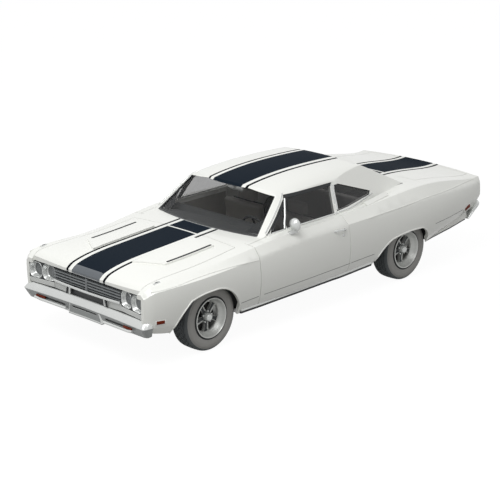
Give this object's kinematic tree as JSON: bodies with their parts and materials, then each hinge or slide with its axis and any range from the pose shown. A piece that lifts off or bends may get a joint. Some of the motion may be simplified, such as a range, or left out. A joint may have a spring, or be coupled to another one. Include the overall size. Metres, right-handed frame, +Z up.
{
  "type": "two-door muscle car",
  "caption": "Two-door coupe with hollow panels, opening doors, hood and deck lid, steered front wheels and five-spoke road wheels.",
  "frame": {"origin": "on the ground, under the middle of the bounding box", "axes": "+X forwards, +Y to the car's left, +Z up"},
  "size_m": [5.149, 1.9416, 1.3618],
  "materials": {
    "paint_white": "gloss",
    "underbody_black": "satin",
    "glass_clear": "gloss",
    "chrome_trim": "polished",
    "lamp_red": "gloss",
    "grille_dark": "satin",
    "trim_black": "matte",
    "seat_vinyl": "satin",
    "engine_iron": "satin",
    "axle_iron": "satin",
    "steel_pipe": "satin",
    "wheel_steel": "polished",
    "tyre_rubber": "matte"
  },
  "bodies": {
    "body": {"floor_pan": "underbody_black", "sills": "paint_white", "engine_bay": "underbody_black", "cowl": "paint_white", "fender_left": "paint_white", "fender_right": "paint_white", "quarter_left": "paint_white", "quarter_right": "paint_white", "parcel_shelf": "underbody_black", "tail_panel": "paint_white", "roof": "paint_white", "windshield": "glass_clear", "rear_window": "glass_clear", "quarter_windows": "glass_clear", "grille": "grille_dark", "headlamps": "chrome_trim", "front_bumper": "chrome_trim", "rear_bumper": "chrome_trim", "tail_lamps": "lamp_red", "dashboard": "trim_black", "front_seats": "seat_vinyl", "rear_seat": "seat_vinyl", "engine": "engine_iron", "rear_axle": "axle_iron", "front_suspension": "axle_iron", "exhaust": "steel_pipe", "fuel_tank": "steel_pipe"},
    "door_left": {"door_left": "paint_white", "door_glass_left": "glass_clear", "door_mirror": "chrome_trim"},
    "door_right": {"door_right": "paint_white", "door_glass_right": "glass_clear"},
    "hood": {"hood": "paint_white"},
    "deck_lid": {"deck_lid": "paint_white"},
    "knuckle_left": {"knuckle_left": "axle_iron"},
    "knuckle_right": {"knuckle_right": "axle_iron"},
    "wheel_front_left": {"rim_front_left": "wheel_steel", "tyre_front_left": "tyre_rubber"},
    "wheel_front_right": {"rim_front_right": "wheel_steel", "tyre_front_right": "tyre_rubber"},
    "wheel_rear_left": {"rim_rear_left": "wheel_steel", "tyre_rear_left": "tyre_rubber"},
    "wheel_rear_right": {"rim_rear_right": "wheel_steel", "tyre_rear_right": "tyre_rubber"},
    "steering_wheel": {"steering_wheel": "trim_black"}
  },
  "joints": [
    {"name": "door_left_hinge", "type": "hinge", "parent": "body", "child": "door_left", "pos_m": [1.0795, 0.9705, 0.65], "axis": [0, 0, -1], "range_deg": [0, 65]},
    {"name": "door_right_hinge", "type": "hinge", "parent": "body", "child": "door_right", "pos_m": [1.0795, -0.9705, 0.65], "axis": [0, 0, 1], "range_deg": [0, 65]},
    {"name": "hood_hinge", "type": "hinge", "parent": "body", "child": "hood", "pos_m": [1.2175, 0, 0.934], "axis": [0, -1, 0], "range_deg": [0, 50]},
    {"name": "deck_lid_hinge", "type": "hinge", "parent": "body", "child": "deck_lid", "pos_m": [-1.6565, 0, 1.006], "axis": [0, 1, 0], "range_deg": [0, 65]},
    {"name": "steer_left", "type": "hinge", "parent": "body", "child": "knuckle_left", "pos_m": [1.6845, 0.715, 0.335], "axis": [0, 0, 1], "range_deg": [-30, 30]},
    {"name": "steer_right", "type": "hinge", "parent": "body", "child": "knuckle_right", "pos_m": [1.6845, -0.715, 0.335], "axis": [0, 0, 1], "range_deg": [-30, 30]},
    {"name": "spin_front_left", "type": "hinge", "parent": "knuckle_left", "child": "wheel_front_left", "pos_m": [1.6845, 0.762, 0.335], "axis": [0, 1, 0], "continuous": true},
    {"name": "spin_front_right", "type": "hinge", "parent": "knuckle_right", "child": "wheel_front_right", "pos_m": [1.6845, -0.762, 0.335], "axis": [0, 1, 0], "continuous": true},
    {"name": "spin_rear_left", "type": "hinge", "parent": "body", "child": "wheel_rear_left", "pos_m": [-1.2615, 0.762, 0.335], "axis": [0, 1, 0], "continuous": true},
    {"name": "spin_rear_right", "type": "hinge", "parent": "body", "child": "wheel_rear_right", "pos_m": [-1.2615, -0.762, 0.335], "axis": [0, 1, 0], "continuous": true},
    {"name": "steering_wheel_turn", "type": "hinge", "parent": "body", "child": "steering_wheel", "pos_m": [0.5645, 0.37, 0.812], "axis": [-0.9272, 0, 0.3746], "range_deg": [-600, 600]}
  ],
  "couplings": [
    {"joint": "steer_right", "follows": "steer_left", "ratio": 1},
    {"joint": "steering_wheel_turn", "follows": "steer_left", "ratio": 20}
  ]
}
